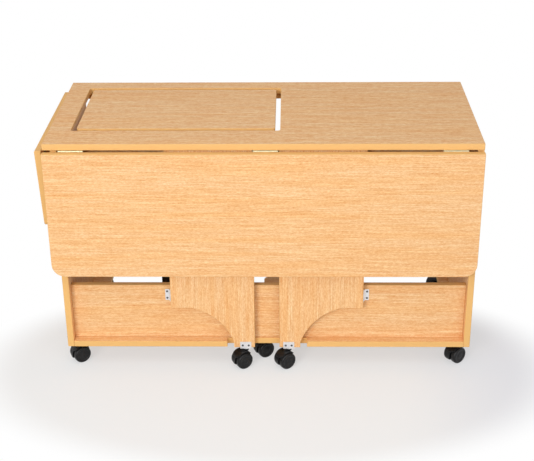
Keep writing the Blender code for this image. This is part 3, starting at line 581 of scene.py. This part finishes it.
bpy.ops.object.select_all(action="DESELECT")
bpy.ops.mesh.primitive_cylinder_add(
    vertices=HOOD_SIDES, radius=HOOD_OUTER, depth=2 * HOOD_HALF_WIDTH, end_fill_type="NOTHING",
    location=(TRAIL, 0, WHEEL_RADIUS), rotation=(pi / 2, 0, 0),
)
hood_master = begin("hood_master")
pick(hood_master, "FACE", lambda face: not HOOD_FROM < arc_angle(face.calc_center_median()) < HOOD_TO)
bpy.ops.mesh.delete(type="FACE")
for row_in, narrowed in enumerate(HOOD_TIP):
    from_top = (HOOD_TO - HOOD_FROM) / 2 - row_in * tau / HOOD_SIDES
    pick(hood_master, "VERT", lambda vert: abs(abs(arc_angle(vert.co) - pi / 2) - from_top) < TIP_ROW)
    bpy.ops.transform.resize(value=(1, narrowed, 1), center_override=(TRAIL, 0, WHEEL_RADIUS))
bpy.ops.object.mode_set(mode="OBJECT")
wall = hood_master.modifiers.new("wall", "SOLIDIFY")
wall.thickness = HOOD_OUTER - HOOD_INNER
wall.offset = -1
soft = hood_master.modifiers.new("soft", "BEVEL")
soft.width = HOOD_SOFT
soft.segments = 3
bpy.ops.object.modifier_apply(modifier="wall")
bpy.ops.object.modifier_apply(modifier="soft")

bpy.ops.object.select_all(action="DESELECT")
bpy.ops.mesh.primitive_cylinder_add(
    vertices=HOOD_SIDES, radius=(HOOD_INNER + HOOD_OUTER) / 2, depth=WEB_WIDTH,
    location=(TRAIL, 0, WHEEL_RADIUS), rotation=(pi / 2, 0, 0),
)
web = begin("hood_web")
bpy.ops.mesh.select_all(action="SELECT")
bpy.ops.mesh.bisect(
    plane_co=(TRAIL, 0, WHEEL_RADIUS - WEB_BELOW_AXLE), plane_no=(0, 0, 1), use_fill=True,
    clear_inner=True,
)
bpy.ops.object.mode_set(mode="OBJECT")
neck = drawn_up("hood_neck", neck_profile, NECK_SIDES)
combine(hood_master, "UNION", web, neck)
hood_master.data.materials.clear()
hood_master.data.materials.append(hood_nylon)
bpy.ops.object.select_all(action="DESELECT")
hood_master.select_set(True)
bpy.ops.object.shade_smooth_by_angle(angle=radians(35))

CASTOR_PLATE = 0.0042
PLATE_SCREW_CIRCLE = 0.0138
BRACKET_SCREW_SPREAD, BRACKET_SCREW_UP = 0.0086, 0.004
castor_zinc = zinc_plate("castor_zinc", 0.90, 0.40)
joints = {joint["name"]: joint for joint in frame["joints"]}
for castor in (
    "rear_left", "rear_middle", "rear_right", "front_left", "front_right", "leg_left", "leg_right",
):
    name = "castor_" + castor
    stem = Vector(joints[name + "_turn"]["pos_m"])
    axle = Vector(joints[name + "_roll"]["pos_m"])
    axle_way = Vector(joints[name + "_roll"]["axis"])
    upright = Vector((0, 0, 1))

    # Right-handed columns, so that the wheels are turned into place and not mirrored inside out.
    wheel_turn = Matrix((upright.cross(axle_way), upright, axle_way)).transposed().to_4x4()
    wheels = copies_at(name + "_twin_wheels", wheels_master, [Matrix.Translation(axle) @ wheel_turn])
    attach(wheels, name + "_wheels")
    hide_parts(name + "_wheels")

    trail = Vector((axle.x - stem.x, axle.y - stem.y, 0)).normalized()
    hood_turn = Matrix((trail, upright.cross(trail), upright)).transposed().to_4x4()
    hood = copies_at(name + "_fender", hood_master, [Matrix.Translation((stem.x, stem.y, 0)) @ hood_turn])
    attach(hood, name + "_swivel")
    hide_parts(name + "_hood")

    finish_node(name + "_mount", castor_zinc)
    low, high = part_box(name + "_mount")
    if castor.startswith("leg"):
        screw_z = (low.z + high.z) / 2 + BRACKET_SCREW_UP
        points = [(stem.x + sign * BRACKET_SCREW_SPREAD, low.y, screw_z) for sign in (-1, 1)]
        screws(name + "_screws", "gate_" + castor, (0, -1, 0), points)
    else:
        angles = [tau * k / 3 + pi / 2 for k in range(3)]
        screw_z = high.z - CASTOR_PLATE
        points = [
            (stem.x + PLATE_SCREW_CIRCLE * cos(angle), stem.y + PLATE_SCREW_CIRCLE * sin(angle), screw_z)
            for angle in angles
        ]
        screws(name + "_screws", "cabinet", (0, 0, -1), points)
bpy.data.objects.remove(wheels_master)
bpy.data.objects.remove(hood_master)


# Leaf supports. Two flat steel bars under the left overhang of the worktop, each on a shouldered screw. They
# turn out under the side leaf when it is raised.
for support in ("leaf_support_rear", "leaf_support_front"):
    finish_node(support, zinc)
    finish_node(support + "_pivot", zinc)


# Lift. A two-stage column of black powder-coated steel with a gas spring inside carries the platform. A nylon
# collar guides the upper stage at the mouth of the lower one, and screws hold both end plates.
COLUMN = Vector((0.152, 0.060))
COLUMN_STEP = 0.0026
END_PLATE = 0.003
SCREW_IN = 0.010
COLLAR_WALL, COLLAR_RISE, COLLAR_DROP = 0.004, 0.0022, 0.012
COLLAR_CORNER, COLLAR_SOFT = 0.003, 0.0012
RUN = 0.0003
CUT_PAST = 0.01
POWDER_BLACK, POWDER_GREY = (0.012, 0.012, 0.013, 1), (0.026, 0.026, 0.028, 1)

powder, add = new_material("black_powder_coat")
place = add("TexCoord")
peel = add("TexNoise", {"Scale": 900, "Detail": 2})
tint = add("Mix", {"A": POWDER_BLACK, "B": POWDER_GREY}, data_type="RGBA")
gloss = add("MapRange", {"To Min": 0.34, "To Max": 0.52})
relief = add("Bump", {"Strength": 0.25, "Distance": 0.0002})
shader = add("BsdfPrincipled")
out = add("OutputMaterial")
link_up(
    powder.node_tree,
    (place, "Object", peel, "Vector"), (peel, 0, tint, "Factor"), (tint, "Result", shader, "Base Color"),
    (peel, 0, gloss, "Value"), (gloss, 0, shader, "Roughness"), (peel, 0, relief, "Height"),
    (relief, 0, shader, "Normal"), (shader, 0, out, "Surface"),
)
for name in ("lift_column_outer", "lift_column_inner", "gas_spring_cylinder"):
    finish_node(name, powder)
finish_node("gas_spring_rod", zinc)

base_low, base_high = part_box("lift_column_outer")
flange_low, flange_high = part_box("lift_column_inner")
middle = (base_low + base_high) / 2
corners = [(-1, -1), (1, -1), (1, 1), (-1, 1)]
for name, body, facing, plate, screw_z in (
    ("lift_base_screws", "cabinet", (0, 0, 1), base_high - base_low, base_low.z + END_PLATE),
    ("lift_flange_screws", "lift", (0, 0, -1), flange_high - flange_low, flange_high.z - END_PLATE),
):
    from_x, from_y = plate.x / 2 - SCREW_IN, plate.y / 2 - SCREW_IN
    points = [(middle.x + u * from_x, middle.y + v * from_y, screw_z) for u, v in corners]
    screws(name, body, facing, points)
bpy.data.objects.remove(screw)

inner_half = COLUMN / 2 - Vector((COLUMN_STEP, COLUMN_STEP))
bpy.ops.object.select_all(action="DESELECT")
bpy.ops.mesh.primitive_cube_add(
    size=1, location=(middle.x, middle.y, base_high.z + (COLLAR_RISE - COLLAR_DROP) / 2),
    scale=(COLUMN.x + 2 * COLLAR_WALL, COLUMN.y + 2 * COLLAR_WALL, COLLAR_RISE + COLLAR_DROP),
)
collar = begin("lift_collar")
pick(collar, "EDGE", lambda edge: abs(edge.verts[0].co.z - edge.verts[1].co.z) > COLLAR_DROP)
bpy.ops.mesh.bevel(offset=COLLAR_CORNER, segments=4)
pick(collar, "EDGE", lambda edge: min(vert.co.z for vert in edge.verts) > base_high.z)
bpy.ops.mesh.bevel(offset=COLLAR_SOFT, segments=3)
bpy.ops.object.mode_set(mode="OBJECT")
openings = []
for half_x, half_y, low_z, high_z in (
    (COLUMN.x / 2 + RUN, COLUMN.y / 2 + RUN, base_high.z - COLLAR_DROP - CUT_PAST, base_high.z + RUN),
    (inner_half.x + RUN, inner_half.y + RUN, base_high.z - CUT_PAST, base_high.z + CUT_PAST),
):
    bpy.ops.object.select_all(action="DESELECT")
    bpy.ops.mesh.primitive_cube_add(
        size=1, location=(middle.x, middle.y, (low_z + high_z) / 2),
        scale=(2 * half_x, 2 * half_y, high_z - low_z),
    )
    openings.append(bpy.context.object)
combine(collar, "DIFFERENCE", *openings)
collar.data.materials.clear()
collar.data.materials.append(hood_nylon)
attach(collar, "cabinet")
